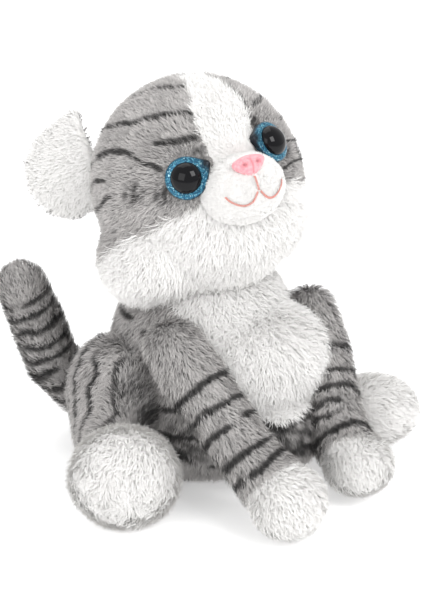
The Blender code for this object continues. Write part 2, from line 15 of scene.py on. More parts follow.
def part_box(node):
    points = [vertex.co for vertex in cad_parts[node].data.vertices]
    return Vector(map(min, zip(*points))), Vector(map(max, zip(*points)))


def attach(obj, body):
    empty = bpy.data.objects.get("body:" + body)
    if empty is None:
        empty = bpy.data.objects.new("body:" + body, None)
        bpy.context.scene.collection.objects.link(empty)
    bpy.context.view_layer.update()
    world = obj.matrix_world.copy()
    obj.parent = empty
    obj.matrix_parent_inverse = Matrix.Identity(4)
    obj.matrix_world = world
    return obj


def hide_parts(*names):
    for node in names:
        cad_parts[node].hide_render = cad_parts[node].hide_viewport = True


MM = 0.001
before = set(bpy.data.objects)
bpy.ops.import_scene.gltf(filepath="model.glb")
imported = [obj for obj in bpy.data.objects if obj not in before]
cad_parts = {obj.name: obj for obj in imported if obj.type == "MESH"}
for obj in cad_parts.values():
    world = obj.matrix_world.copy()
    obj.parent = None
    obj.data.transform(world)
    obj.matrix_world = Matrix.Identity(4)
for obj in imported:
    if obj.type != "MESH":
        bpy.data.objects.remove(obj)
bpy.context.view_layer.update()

# ---------------------------------------------------------------- sizes
TORSO_PROFILE = [(0, 38), (5, 46), (18, 53), (40, 56), (62, 53), (80, 48), (92, 42), (102, 32), (108, 14)]
TORSO_DEPTH = 0.90
TORSO_Y = 22
HEAD_CENTRE = Vector((0, 28, 144))
HEAD_RADII = Vector((52, 53, 54.5))
HEAD_TURN = Euler((math.radians(-31), math.radians(-3), math.radians(-8)), "ZXY")
MUZZLE_CENTRE = Vector((0, -45, -13))
MUZZLE_RADII = Vector((22, 18, 17.5))
NOSE_AT = Vector((0, -61.5, -5))
EYES = {"right": (-25.5, -1.0), "left": (21.5, 3.5)}
RING_RADIUS = 10.2
PUPIL_RADIUS = 7.5
PUPIL_HEIGHT = 5.2
EAR_SEAM = Vector((34, 24, 33))
EAR_HALF_WIDTH = 25
EAR_HEIGHT = 42
EAR_CUP = 9
EAR_LEAN = math.radians(100)
EAR_SWEEP = math.radians(50)
CHEST = (9, -9, 57)
CHEST_RADII = (46, 33, 35)
BELLY = (8, -20, 28)
BELLY_RADII = (31, 23, 22)
FORELEGS = {
    "right": [(-42, -10, 80, 17.5), (-39.5, -20, 70, 18.5), (-35, -38, 53, 17.5), (-31, -56, 37, 17.5),
              (-27, -68, 27, 19)],
    "left": [(47.5, -3, 76, 16.5), (45, -17, 60, 17), (37.5, -32, 43, 17.5), (31.5, -45, 31, 18),
             (29, -56, 24, 18)],
}
FOREPAWS = {"right": ((-25, -79, 21), (22.5, 21.5, 21.6)), "left": ((30, -65, 18.5), (21.5, 20.5, 18.8))}
HAUNCHES = {"right": (-51, 26, 42), "left": (52, 31, 41)}
HAUNCH_RADII = (25, 33, 36)
FEET = {"right": ((-79, -22, 26.3), (28, 20, 27), -38), "left": ((79, -19, 17.6), (26, 24, 18), 40)}
SHANKS = {
    "right": [(-50, 34, 28, 23), (-59, 16, 27, 23), (-68, 0, 26, 21), (-75, -14, 26, 20)],
    "left": [(52, 36, 26, 22), (60, 19, 22, 19), (68, 3, 18.5, 17), (74.5, -11, 17.5, 16)],
}
TAIL = [(4, 60, 24, 13), (-16, 73, 19, 14), (-38, 82, 24, 14.5), (-52, 86, 42, 14.5), (-59, 87, 64, 14.5),
        (-67, 88, 86, 13.5)]
HEAD_INSET = 2.6
INSET = 5.2             # how far the woven backing lies under the brushed surface
THIN_INSET = 3.0        # the same on the feet and the tail
CLOTH_FRAMES = 14
CLOTH_TRAVEL = 1.8      # the furthest that the cloth may move a point
BAG_REST = 1.2          # how high the lowest point of a bag lies
VOXEL = 2.6
FLOOR_GAP = 0.4
DENSITY = 2.6      # strands per square millimetre

# The kitten's frame stands under the middle of the torso's seat.
low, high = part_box("seat_panel")
KITTEN = Vector(((low.x + high.x) / 2, (low.y + high.y) / 2 - TORSO_Y * MM, 0))
HEAD = Matrix.Translation(HEAD_CENTRE) @ HEAD_TURN.to_matrix().to_4x4()
HEAD_R = np.array(HEAD.to_3x3())
HEAD_C = np.array(HEAD_CENTRE)
rng = np.random.default_rng(11)


# ---------------------------------------------------------------- small numerical helpers
def unit(v):
    return v / np.maximum(np.linalg.norm(v, axis=-1, keepdims=True), 1e-9)


def step(a, b, x):
    t = np.clip((x - a) / (b - a), 0, 1)
    return t * t * (3 - 2 * t)


def wave(p, size, seed):
    """Smooth noise of about -1 to 1 that changes over that many millimetres."""
    r = np.random.default_rng(seed)
    k = unit(r.normal(size=(9, 3))) * r.uniform(0.6, 1.7, (9, 1)) * 2 * math.pi / size
    return np.sin(p @ k.T + r.uniform(0, 6.28, 9)).mean(axis=1) * 1.9


def to_head(p):
    return (p - HEAD_C) @ HEAD_R


def near_line(p, line):
    """Distance from each point to a polyline."""
    line = np.array(line, float)
    best = np.full(len(p), 1e9)
    for a, b in zip(line[:-1], line[1:]):
        d = b - a
        t = np.clip((p - a) @ d / (d @ d), 0, 1)
        best = np.minimum(best, np.linalg.norm(p - a - t[:, None] * d, axis=1))
    return best


def on_tube(p, stations):
    """For each point: how deep it is in the tube, how far along it lies, and the tube's direction there."""
    s = np.array(stations, float)
    deep = np.full(len(p), -1e9)
    along = np.zeros(len(p))
    way = np.zeros((len(p), 3))
    start = 0.0
    for a, b in zip(s[:-1], s[1:]):
        d = b[:3] - a[:3]
        size = np.linalg.norm(d)
        t = np.clip((p - a[:3]) @ d / (d @ d), 0, 1)
        here = a[3] + (b[3] - a[3]) * t - np.linalg.norm(p - a[:3] - t[:, None] * d, axis=1)
        better = here > deep
        deep = np.where(better, here, deep)
        along = np.where(better, start + t * size, along)
        way[better] = d / size
        start += size
    return deep, along, way


def in_ball(p, centre, radii, turn=0.0):
    c, s = math.cos(math.radians(turn)), math.sin(math.radians(turn))
    q = (p - np.array(centre)) @ np.array([[c, -s, 0], [s, c, 0], [0, 0, 1]])
    return (1 - np.linalg.norm(q / np.array(radii), axis=1)) * min(radii)


def in_torso(p):
    z, r = zip(*TORSO_PROFILE)
    around = np.hypot(p[:, 0], (p[:, 1] - TORSO_Y) / TORSO_DEPTH)
    return np.where((p[:, 2] > 0) & (p[:, 2] < 108), np.interp(p[:, 2], z, r) - around, -1.0)


def legs(side):
    return (-1 if side == "right" else 1), FORELEGS[side], FOREPAWS[side][0]


def inside(bag, p):
    """How many millimetres each point is inside that bag."""
    if bag == "torso":
        return np.maximum(in_torso(p), in_ball(p, CHEST, CHEST_RADII))
    if bag == "head":
        return in_ball(to_head(p), (0, 0, 0), HEAD_RADII)
    if bag == "muzzle":
        return in_ball(to_head(p), MUZZLE_CENTRE, MUZZLE_RADII)
    if bag == "tail":
        return on_tube(p, TAIL)[0]
    side = bag.split("_")[0]
    _, stations, paw = legs(side)
    if bag.endswith("foreleg"):
        return np.maximum(on_tube(p, stations)[0], in_ball(p, paw, FOREPAWS[side][1]))
    foot, radii, turn = FEET[side]
    return np.maximum(np.maximum(on_tube(p, SHANKS[side])[0], in_ball(p, foot, radii, turn)),
                      in_ball(p, HAUNCHES[side], HAUNCH_RADII))


BAGS = ("torso", "head", "muzzle", "tail", "right_foreleg", "left_foreleg", "right_hindleg", "left_hindleg")


# ---------------------------------------------------------------- bags
def add_ball(made, centre, radii, turn=None, detail=4):
    place = Matrix.Translation(centre) @ (turn or Matrix.Identity(4)) @ Matrix.Diagonal((*radii, 1))
    bmesh.ops.create_icosphere(made, subdivisions=detail, radius=1.0, matrix=place)


def add_tube(made, stations, inset):
    for a, b in zip(stations[:-1], stations[1:]):
        a, b = Vector(a), Vector(b)
        steps = max(2, int((b - a).length / 2.5))
        for i in range(steps + 1):
            at = a.lerp(b, i / steps)
            add_ball(made, at.xyz, (at.w - inset,) * 3, detail=3)


def add_torso(made, inset):
    z, r = zip(*TORSO_PROFILE)
    heights = np.linspace(inset * 0.4, 107.5 - inset, 48)
    rings = []
    for h in heights:
        radius = np.interp(h, z, r) - inset
        rings.append([made.verts.new((radius * math.cos(a), TORSO_Y + radius * TORSO_DEPTH * math.sin(a), h))
                      for a in np.linspace(0, 2 * math.pi, 64, endpoint=False)])
    for below, above in zip(rings[:-1], rings[1:]):
        for i in range(64):
            made.faces.new((below[i], below[(i + 1) % 64], above[(i + 1) % 64], above[i]))
    made.faces.new(rings[0][::-1])
    made.faces.new(rings[-1])


def finished(obj):
    """The object's mesh as its modifiers make it, kept."""
    graph = bpy.context.evaluated_depsgraph_get()
    mesh = bpy.data.meshes.new_from_object(obj.evaluated_get(graph))
    obj.modifiers.clear()
    obj.data = mesh
    return obj


def coords(mesh):
    co = np.empty(len(mesh.vertices) * 3, np.float32)
    mesh.vertices.foreach_get("co", co)
    return co.reshape(-1, 3).astype(float)


def set_coords(mesh, co):
    mesh.vertices.foreach_set("co", np.ascontiguousarray(co, np.float32).ravel())
    mesh.update()


def to_mm(co):
    return (co - np.array(KITTEN)) / MM


def bag(name, made, smooth=6, voxel=VOXEL):
    """One closed soft body from the overlapping balls and tubes in made."""
    made.transform(Matrix.Translation(KITTEN) @ Matrix.Diagonal((MM, MM, MM, 1)))
    mesh = bpy.data.meshes.new(name)
    made.to_mesh(mesh)
    made.free()
    obj = bpy.data.objects.new(name, mesh)
    bpy.context.scene.collection.objects.link(obj)
    remesh = obj.modifiers.new("remesh", "REMESH")
    remesh.mode = "VOXEL"
    remesh.voxel_size = voxel * MM
    relax = obj.modifiers.new("relax", "SMOOTH")
    relax.iterations = smooth
    finished(obj)
    co = coords(obj.data)
    co[:, 2] = np.maximum(co[:, 2], BAG_REST * MM)
    set_coords(obj.data, co)
    return obj


def no_seams(p):
    return np.zeros(len(p), bool)


def stuff(obj, seams):
    """Swells the bag with stuffing by cloth pressure, held back along its seams."""
    start = coords(obj.data)
    held = obj.vertex_groups.new(name="seams")
    for index in np.nonzero(seams(to_mm(start)))[0]:
        held.add([int(index)], 1.0, "REPLACE")
    cloth = obj.modifiers.new("cloth", "CLOTH")
    cloth.settings.quality = 4
    cloth.settings.mass = 0.2
    cloth.settings.use_pressure = True
    cloth.settings.uniform_pressure_force = 4.0
    cloth.settings.effector_weights.gravity = 0.0
    cloth.settings.vertex_group_mass = "seams"
    for number in range(1, CLOTH_FRAMES + 1):
        bpy.context.scene.frame_set(number)
    graph = bpy.context.evaluated_depsgraph_get()
    swollen = obj.evaluated_get(graph).to_mesh()
    end = coords(swollen)
    obj.evaluated_get(graph).to_mesh_clear()
    obj.modifiers.remove(cloth)
    move = end - start
    size = np.linalg.norm(move, axis=1, keepdims=True)
    move *= np.minimum(1, CLOTH_TRAVEL * MM / np.maximum(size, 1e-9))
    start += np.nan_to_num(move)
    start[:, 2] = np.maximum(start[:, 2], BAG_REST * MM)
    set_coords(obj.data, start)
    bpy.context.scene.frame_set(1)
    return obj


# ---------------------------------------------------------------- materials
def new_material(name, roughness=0.6, sheen=0.0):
    made = bpy.data.materials.new(name)
    made.use_nodes = True
    shader = made.node_tree.nodes["Principled BSDF"]
    shader.inputs["Roughness"].default_value = roughness
    shader.inputs["Sheen Weight"].default_value = sheen
    return made, made.node_tree, shader


def ramp(tree, source, stops):
    node = tree.nodes.new("ShaderNodeValToRGB")
    while len(node.color_ramp.elements) > 1:
        node.color_ramp.elements.remove(node.color_ramp.elements[-1])
    node.color_ramp.elements[0].position = stops[0][0]
    node.color_ramp.elements[0].color = (*stops[0][1], 1)
    for place, colour in stops[1:]:
        node.color_ramp.elements.new(place).color = (*colour, 1)
    tree.links.new(source, node.inputs[0])
    return node.outputs[0]


def grey(v):
    return (v, v * 0.965, v * 0.945)


# Each strand darkens from its tip down to its root: painted shade deep in the pile, between the locks. The
# tips carry the pile's own colour.
SHADED_ROOTS = [(0.0, grey(0.016)), (0.25, grey(0.05)), (0.5, grey(0.17)), (0.62, grey(0.24)),
         (0.72, (0.74, 0.73, 0.70)), (0.85, (0.84, 0.83, 0.81)), (1.0, (0.88, 0.87, 0.855))]
TIPS = [(0.0, grey(0.030)), (0.25, grey(0.12)), (0.5, grey(0.56)), (0.62, grey(0.70)),
        (0.72, (0.84, 0.83, 0.81)), (0.85, (0.90, 0.89, 0.875)), (1.0, (0.92, 0.912, 0.90))]


def fur_material():
    """Across the map runs the shade from black stripe to white, and up it the strand from root to tip."""
    made, tree, shader = new_material("brushed_fur", 0.75)
    where = tree.nodes.new("ShaderNodeUVMap")
    where.uv_map = "OFBake"
    split = tree.nodes.new("ShaderNodeSeparateXYZ")
    tree.links.new(where.outputs[0], split.inputs[0])
    mix = tree.nodes.new("ShaderNodeMix")
    mix.data_type = "RGBA"
    # Towards the root the colour falls to the root ramp: painted shade in the depth of the pile.
    out_of_root_shade = ramp(tree, split.outputs[1], [(0.0, (0, 0, 0)), (0.3, (0.35,) * 3), (0.65, (0.85,) * 3),
                                          (1.0, (1, 1, 1))])
    tree.links.new(out_of_root_shade, mix.inputs["Factor"])
    tree.links.new(ramp(tree, split.outputs[0], SHADED_ROOTS), mix.inputs["A"])
    tree.links.new(ramp(tree, split.outputs[0], TIPS), mix.inputs["B"])
    tree.links.new(mix.outputs["Result"], shader.inputs["Base Color"])
    shader.inputs["Specular IOR Level"].default_value = 0.25
    return made


def backing_material():
    made, tree, shader = new_material("fur_backing", 0.9)
    shade = tree.nodes.new("ShaderNodeAttribute")
    shade.attribute_name = "shade"
    # The backing takes the middle of the root and tip colours, so it carries half of the roots' painted
    # shade.
    tree.links.new(ramp(tree, shade.outputs["Fac"], [(p, tuple(0.5 * (a + b) for a, b in zip(c, d)))
                                                     for (p, c), (_, d) in zip(SHADED_ROOTS, TIPS)]),
                   shader.inputs["Base Color"])
    weave = tree.nodes.new("ShaderNodeTexNoise")
    weave.inputs["Scale"].default_value = 900
    bump = tree.nodes.new("ShaderNodeBump")
    bump.inputs["Distance"].default_value = 0.0004
    tree.links.new(weave.outputs[0], bump.inputs["Height"])
    tree.links.new(bump.outputs[0], shader.inputs["Normal"])
    return made


def plain(name, low_colour, high_colour, roughness, scale, bump_height=0.0, sheen=0.0, painted_shade_attribute=""):
    """A fabric or plastic whose colour wanders between two close ones, darkened as painted shade where the
    named attribute is high.
    """
    made, tree, shader = new_material(name, roughness, sheen)
    coordinates = tree.nodes.new("ShaderNodeTexCoord")
    noise = tree.nodes.new("ShaderNodeTexNoise")
    noise.inputs["Scale"].default_value = scale
    noise.inputs["Detail"].default_value = 4
    tree.links.new(coordinates.outputs["Object"], noise.inputs["Vector"])
    colour = ramp(tree, noise.outputs[0], [(0.35, low_colour), (0.65, high_colour)])
    if painted_shade_attribute:
        place = tree.nodes.new("ShaderNodeAttribute")
        place.attribute_name = painted_shade_attribute
        mix = tree.nodes.new("ShaderNodeMix")
        mix.data_type = "RGBA"
        tree.links.new(place.outputs["Fac"], mix.inputs["Factor"])
        tree.links.new(colour, mix.inputs["A"])
        # The darker colour is painted shade.
        mix.inputs["B"].default_value = (*(0.55 * c for c in low_colour), 1)
        colour = mix.outputs["Result"]
    tree.links.new(colour, shader.inputs["Base Color"])
    if bump_height:
        bump = tree.nodes.new("ShaderNodeBump")
        bump.inputs["Distance"].default_value = bump_height
        tree.links.new(noise.outputs[0], bump.inputs["Height"])
        tree.links.new(bump.outputs[0], shader.inputs["Normal"])
    return made


def glitter_material():
    made, tree, shader = new_material("eye_glitter", 0.28)
    shader.inputs["Metallic"].default_value = 0.55
    coordinates = tree.nodes.new("ShaderNodeTexCoord")
    flakes = tree.nodes.new("ShaderNodeTexVoronoi")
    flakes.inputs["Scale"].default_value = 2600
    tree.links.new(coordinates.outputs["Object"], flakes.inputs["Vector"])
    split = tree.nodes.new("ShaderNodeSeparateColor")
    tree.links.new(flakes.outputs["Color"], split.inputs[0])
    colour = ramp(tree, split.outputs[0], [(0.0, (0.005, 0.03, 0.07)), (0.4, (0.02, 0.11, 0.20)),
                                           (0.74, (0.04, 0.20, 0.30)), (0.94, (0.13, 0.42, 0.54)),
                                           (1.0, (0.6, 0.85, 0.9))])
    dark = tree.nodes.new("ShaderNodeAttribute")
    dark.attribute_name = "rim"
    mix = tree.nodes.new("ShaderNodeMix")
    mix.data_type = "RGBA"
    tree.links.new(dark.outputs["Fac"], mix.inputs["Factor"])
    tree.links.new(colour, mix.inputs["A"])
    mix.inputs["B"].default_value = (0.01, 0.014, 0.02, 1)
    tree.links.new(mix.outputs["Result"], shader.inputs["Base Color"])
    bump = tree.nodes.new("ShaderNodeBump")
    bump.inputs["Distance"].default_value = 0.0004
    bump.inputs["Strength"].default_value = 0.7
    tree.links.new(split.outputs[1], bump.inputs["Height"])
    tree.links.new(bump.outputs[0], shader.inputs["Normal"])
    return made


FUR = fur_material()
BACKING = backing_material()
PILE_WHITE = plain("short_white_pile", (0.90, 0.885, 0.87), (0.95, 0.94, 0.925), 0.85, 300, 0.0002, 0.3)
# The pink pile is darkened by the nose's deep attribute: painted shade in the nostrils and the sewn groove.
PILE_PINK = plain("short_pink_pile", (0.74, 0.25, 0.29), (0.84, 0.38, 0.41), 0.85, 700, 0.0003, 0.3, "deep")
THREAD = plain("pink_thread", (0.52, 0.20, 0.17), (0.66, 0.31, 0.27), 0.55, 2500)
FIBRE = plain("fibre_fill", (0.82, 0.82, 0.81), (0.93, 0.93, 0.92), 0.9, 400, 0.0006)
WASHER = plain("washer_plastic", (0.70, 0.70, 0.68), (0.76, 0.76, 0.74), 0.35, 60)
GLITTER = glitter_material()
EYE, _, eye_shader = new_material("eye_black", 0.035)
eye_shader.inputs["Base Color"].default_value = (0.002, 0.002, 0.003, 1)
eye_shader.inputs["Specular IOR Level"].default_value = 0.22


# ---------------------------------------------------------------- shade of the print
HEAD_STRIPES = [
    ([(-21, -6, 50), (-12, -24, 47), (-2, -33, 43)], 0.9),
    ([(-38, 20, 41), (-36, 9, 41), (-36, -8, 38), (-33, -23, 35), (-21, -37, 32), (-10, -44, 28)], 1.1),
    ([(-31, -38, 20), (-21, -45, 17), (-11, -50, 16)], 1.1),
    ([(-46, 20, 24), (-47, 4, 27), (-44, -14, 26), (-41, -24, 22), (-37, -32, 14), (-33, -41, 6)], 1.2),
    ([(-49, 18, 14), (-50, 3, 17), (-50, -8, 14)], 1.0),
    ([(-51, 14, 3), (-52, 0, 4), (-51, -10, 6)], 1.0),
    ([(17, -37, 37), (17, -44, 25)], 1.8),
    ([(15, -47, 19), (20, -48, 12)], 2.2),
]


HEAD_SPOTS = [((-45, -25, 1), 8, 0.40), ((-36, -38, -4), 7, 0.45), ((-53, 19, -10), 7, 0.9),
              ((-51, 6, -13), 6, 0.6),
              ((-16, -49, 8), 5, 0.55), ((46, -25, -2), 9, 0.8), ((33, -41, -1), 6, 0.55),
              ((20, -46, 16), 4, 0.8)]


def spots(p, places, seed):
    """Soft blotches of dark pile; on the haunches they are painted shade."""
    dark = np.zeros(len(p))
    for spot, size, deep in places:
        away = np.linalg.norm(p - np.array(spot), axis=1)
        dark = np.maximum(dark, (1 - step(size * 0.3, size * 1.2, away)) * (deep + 0.55 * wave(p, 4, seed)))
    return np.clip(dark, 0, 1)


def drawn(p, lines, seed):
    """Thin printed lines along polylines, a little shaky."""
    shaky = p + np.stack([wave(p, 10, seed + i) for i in range(3)], 1) * 0.7
    dark = np.zeros(len(p))
    for line, width in lines:
        dark = np.maximum(dark, 1 - step(width * 0.75, width * 1.9, near_line(shaky, line)))
    return dark


def bands(p, along, places, width, seed, shake=1.3):
    """Thin printed lines across a limb, at those distances along it."""
    s = along + wave(p, 24, seed) * shake + wave(p, 7, seed + 1) * 0.5
    dark = np.zeros(len(p))
    for i, place in enumerate(places):
        line = 1 - step(width * 0.6, width * 1.6, np.abs(s - place))
        dark = np.maximum(dark, line * step(-0.75, -0.35, wave(p, 26, seed + 2 + i)))
    return dark


def grey_tone(p, seed):
    return 0.515 + 0.045 * wave(p, 18, seed) + 0.055 * wave(p, 4.5, seed + 1)


def head_tone(p):
    """Shade of the undyed pile and the number of the panel it is sewn on."""
    q = to_head(p)
    x, y, z = q.T
    edge = wave(q, 9, 3) * 1.2
    chin = -13.5 - 0.12 * (y + 50) + edge * 0.8
    left = np.interp(z, [3, 14, 30, 50, 56], [-12, -12, -8, 2, 8])
    right = np.interp(z, [3, 14, 27, 40, 50], [16, 15, 18, 16, 13])
    blaze = (x > left + edge) & (x < right + edge) & (y < -14) & (z > -14)
    white = blaze | (z < chin)
    panel = np.where(z < chin, 3, np.where(blaze, 2, np.where(x < 0, 0, 1)))
    return np.where(white, 0.93, grey_tone(q, 5)), panel


def head_dark(p):
    q = to_head(p)
    x, y, z = q.T
    other = (x > 22) | (y > 24)
    wave_lines = np.abs(np.sin((z * 0.16 + 0.04 * np.abs(y) + wave(q, 40, 31) * 0.5) * 1.6))
    far = other * (1 - step(0.06, 0.20, wave_lines)) * step(-0.5, -0.2, wave(q, 22, 33))
    return np.maximum(np.maximum(drawn(q, HEAD_STRIPES, 21), far), spots(q, HEAD_SPOTS, 35))


def torso_tone(p):
    x, y, z = p.T
    edge = wave(p, 8, 41) * 1.3
    right = np.interp(z, [40, 45, 52, 66, 84, 112], [0, 12, 19, 24, 28, 31])
    left = np.interp(z, [40, 45, 52, 66, 84, 112], [4, 34, 46, 48, 43, 39])
    bib = (x > -right - edge) & (x < left + edge) & (y < TORSO_Y - 12) & (z > 40)
    return np.where(bib, 0.93, grey_tone(p, 43)), np.where(bib, 2, np.where(x < 0, 0, 1))


def torso_dark(p):
    x, y, z = p.T
    around = np.abs(np.arctan2(x, y - TORSO_Y)) * 40
    dark = bands(p, z + 0.22 * around, [22, 37, 50, 65, 81, 96, 112, 128], 1.4, 45, 3.0)
    # Painted shade low on the front of the torso, between the forelegs, made blotchy by a wave.
    low_front_shade = (1 - step(5, 15, np.abs(z - 28))) * (y < -6) * (0.45 + 0.5 * wave(p, 8, 47))
    return np.clip(np.maximum(dark, low_front_shade), 0, 1)


def foreleg_prints(side):
    hand, stations, paw = legs(side)
    centre, elbow = np.array(paw, float), np.array(stations[-3][:3], float)
    toes = (centre - elbow) / np.linalg.norm(centre - elbow)
    cuff = elbow + (centre - elbow) * 0.74

    def tone(p):
        white = (p - cuff) @ toes + wave(p, 9, 51) * 0.8 > 0
        return np.where(white, 0.93, grey_tone(p, 55)), np.where(white, 1, 0)

    def dark(p):
        along = on_tube(p, stations)[1]
        lines = bands(p, along, [25.5, 37.5, 49, 64, 72.5], 1.15, 53 + 9 * hand)
        inner = bands(p, along, [57], 1.0, 57 + 9 * hand) * (hand * (p[:, 0] - centre[0]) < 2)
        return np.maximum(lines, inner)
    return tone, dark


def hindleg_print_and_shade(side):
    hand = -1 if side == "right" else 1
    heel, ankle = (np.array(SHANKS[side][i][:3], float) for i in (-2, -1))
    along = (ankle - heel) / np.linalg.norm(ankle - heel)
    cuff = heel + (ankle - heel) * 0.55
    # Painted shade down the front of the haunch to the top of the foot, where the foreleg meets them.
    haunch_shade = [((hand * 60, 0, 58), 12, 0.35), ((hand * 52, -6, 44), 10, 0.7),
                ((hand * 40, -16, 30), 12, 0.8)]

    def tone(p):
        white = (p - cuff) @ along + wave(p, 9, 61) * 0.8 > 0
        return np.where(white, 0.93, grey_tone(p, 65)), np.where(white, 1, 0)

    def dark(p):
        slant = p[:, 1] - 0.25 * p[:, 2]
        lines = bands(p, slant, [-22, -8, 6, 19, 31, 45], 1.2, 63, 3.0)
        return np.maximum(lines, spots(p, haunch_shade, 69))
    return tone, dark


def tail_tone(p):
    return grey_tone(p, 75), np.zeros(len(p), int)


def tail_dark(p):
    along = on_tube(p, TAIL)[1]
    return bands(p, along, list(np.arange(4, 150, 8.5)), 1.2, 73, 1.6)


def no_dark(p):
    return np.zeros(len(p))


# ---------------------------------------------------------------- lie of the pile
def head_flow(p, n):
    q = to_head(p)
    away = q - np.array([0, -58, -4])
    flow = unit(away)
    flow[:, 2] += 0.25 * (q[:, 2] > 0) - 0.5 * step(5, -25, q[:, 2])
    for x, z in EYES.values():
        eye = np.array(eye_place(x, z)[0])
        off = q - eye
        far = np.linalg.norm(off, axis=1)
        flow += unit(off) * (1.8 * (1 - step(RING_RADIUS, RING_RADIUS + 9, far)))[:, None]
    flow[:, 0] += 0.35 * wave(q, 20, 81)
    return flow @ HEAD_R.T


def torso_flow(p, n):
    return np.stack([0.25 * wave(p, 24, 82) + 0.004 * p[:, 0], 0.1 + 0 * p[:, 0], -1 + 0 * p[:, 0]], 1)


def foreleg_flow(side):
    _, stations, paw = legs(side)

    def flow(p, n):
        way = on_tube(p, stations)[2]
        way = way + 0.25 * unit(p - np.array(paw)) * (in_ball(p, paw, FOREPAWS[side][1]) > -6)[:, None]
        way[:, 0] += 0.25 * wave(p, 20, 83)
        way[:, 2] -= 1.2 * step(26, 8, on_tube(p, stations)[1])
        return way
    return flow


def hindleg_flow(side):
    hand = -1 if side == "right" else 1
    foot = np.array(FEET[side][0], float)

    def flow(p, n):
        down = np.array([hand * 0.1, 0.15, -1.0])
        toes = unit(p - (foot + np.array([-hand * 14, 18, 4])))
        share = step(24, -2, p[:, 1])[:, None]
        way = down * (1 - share) + toes * share
        way[:, 1] += 0.3 * wave(p, 20, 84)
        return way
    return flow


def tail_flow(p, n):
    way = on_tube(p, TAIL)[2]
    way[:, 0] += 0.2 * wave(p, 18, 85)
    return way


# ---------------------------------------------------------------- strands
def sample(mesh, per_mm2):
    """Random roots spread evenly over a mesh: points in the kitten's frame, and normals."""
    mesh.calc_loop_triangles()
    tri = np.empty(len(mesh.loop_triangles) * 3, np.int32)
    mesh.loop_triangles.foreach_get("vertices", tri)
    tri = tri.reshape(-1, 3)
    co = to_mm(coords(mesh))
    normal = np.empty(len(mesh.vertices) * 3, np.float32)
    mesh.vertices.foreach_get("normal", normal)
    normal = normal.reshape(-1, 3).astype(float)
    a, b, c = (co[tri[:, i]] for i in range(3))
    area = np.linalg.norm(np.cross(b - a, c - a), axis=1) / 2
    count = int(area.sum() * per_mm2)
    pick = np.searchsorted(np.cumsum(area), rng.uniform(0, area.sum(), count))
    pick = np.minimum(pick, len(tri) - 1)
    u, v = rng.uniform(size=(2, count))
    flip = u + v > 1
    u, v = np.where(flip, 1 - u, u), np.where(flip, 1 - v, v)
    w = np.stack([1 - u - v, u, v], 1)
    p = (co[tri[pick]] * w[:, :, None]).sum(1)
    n = unit((normal[tri[pick]] * w[:, :, None]).sum(1))
    return p, n


DARKEN = 0.46
ROWS = np.array([0.0, 0.36, 0.72, 1.0])
WIDTHS = np.array([1.0, 0.95, 0.62, 0.0])


def strands(name, body, p, n, flow, tone, dark_of, length, lift, width=0.26, clump=0.35, each=8,
            spread=0.45):
    """One mesh of tapering ribbons: roots p, lying along flow, raised by lift radians."""
    count = len(p)
    tangent = unit(flow - n * (flow * n).sum(1, keepdims=True))
    side = np.cross(n, tangent)
    turn = (rng.normal(0, 1, count) * np.where(tone > 0.7, 1.5 * spread, spread))[:, None]
    tangent = tangent * np.cos(turn) + side * np.sin(turn)
    raised = (lift + rng.normal(0, 0.14, count))[:, None]
    reach = (length * rng.uniform(0.72, 1.15, count))[:, None]
    way = tangent * np.cos(raised) + n * np.sin(raised)
    tip = p + way * reach
    middles = np.arange(0, count, each)
    tree = KDTree(len(middles))
    for i, index in enumerate(middles):
        tree.insert(p[index], i)
    tree.balance()
    mine = middles[np.array([tree.find(point)[1] for point in p])]
    pull = (clump * rng.uniform(0.4, 1.0, count))[:, None]
    gathered = tip[mine] + (p - p[mine]) * 0.25
    tip = tip * (1 - pull) + gathered * pull
    tip[:, 2] = np.maximum(tip[:, 2], FLOOR_GAP)
    way = unit(tip - p)
    across = unit(np.cross(way, n))
    twist = rng.normal(0, 0.30, count)[:, None]
    across = across * np.cos(twist) + np.cross(way, across) * np.sin(twist)
    bow = n * reach * 0.16
    half = (width * rng.uniform(0.75, 1.2, count) / 2)[:, None]
    co, uv, nor = [], [], []
    for t, w in zip(ROWS, WIDTHS):
        middle = p + (tip - p) * t + bow * (4 * t * (1 - t))
        look = unit(n + 0.25 * way * (0.5 - t))
        shade = tone - DARKEN * dark_of(middle) * (tone < 0.7)
        for hand in ((-1, 1) if w else (0,)):
            co.append(middle + across * half * w * hand)
            across_map = np.clip(shade + 0.0015 * hand, 0.001, 0.999)
            uv.append(np.stack([across_map, np.full(count, 0.01 + 0.98 * t)], 1))
            nor.append(unit(look + across * 0.25 * hand))
    co = np.stack(co, 1)
    co[:, :, 2] = np.maximum(co[:, :, 2], FLOOR_GAP)
    uv = np.stack(uv, 1)
    nor = np.stack(nor, 1).reshape(-1, 3)
    corner = np.array([0, 1, 3, 2, 2, 3, 5, 4, 4, 5, 6])
    index = (np.arange(count)[:, None] * 7 + corner).ravel()
    mesh = bpy.data.meshes.new(name)
    mesh.vertices.add(count * 7)
    mesh.vertices.foreach_set("co", (co.reshape(-1, 3) * MM + np.array(KITTEN)).astype(np.float32).ravel())
    mesh.loops.add(count * 11)
    mesh.loops.foreach_set("vertex_index", index.astype(np.int32))
    mesh.polygons.add(count * 3)
    starts = (np.arange(count)[:, None] * 11 + np.array([0, 4, 8])).ravel()
    mesh.polygons.foreach_set("loop_start", starts.astype(np.int32))
    layer = mesh.uv_layers.new(name="OFBake")
    layer.data.foreach_set("uv", uv[:, corner].astype(np.float32).ravel())
    mesh.update(calc_edges=True)
    mesh.validate()
    mesh.shade_smooth()
    mesh.normals_split_custom_set_from_vertices(nor)
    mesh.materials.append(FUR)
    obj = bpy.data.objects.new(name, mesh)
    bpy.context.scene.collection.objects.link(obj)
    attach(obj, body)
    return obj


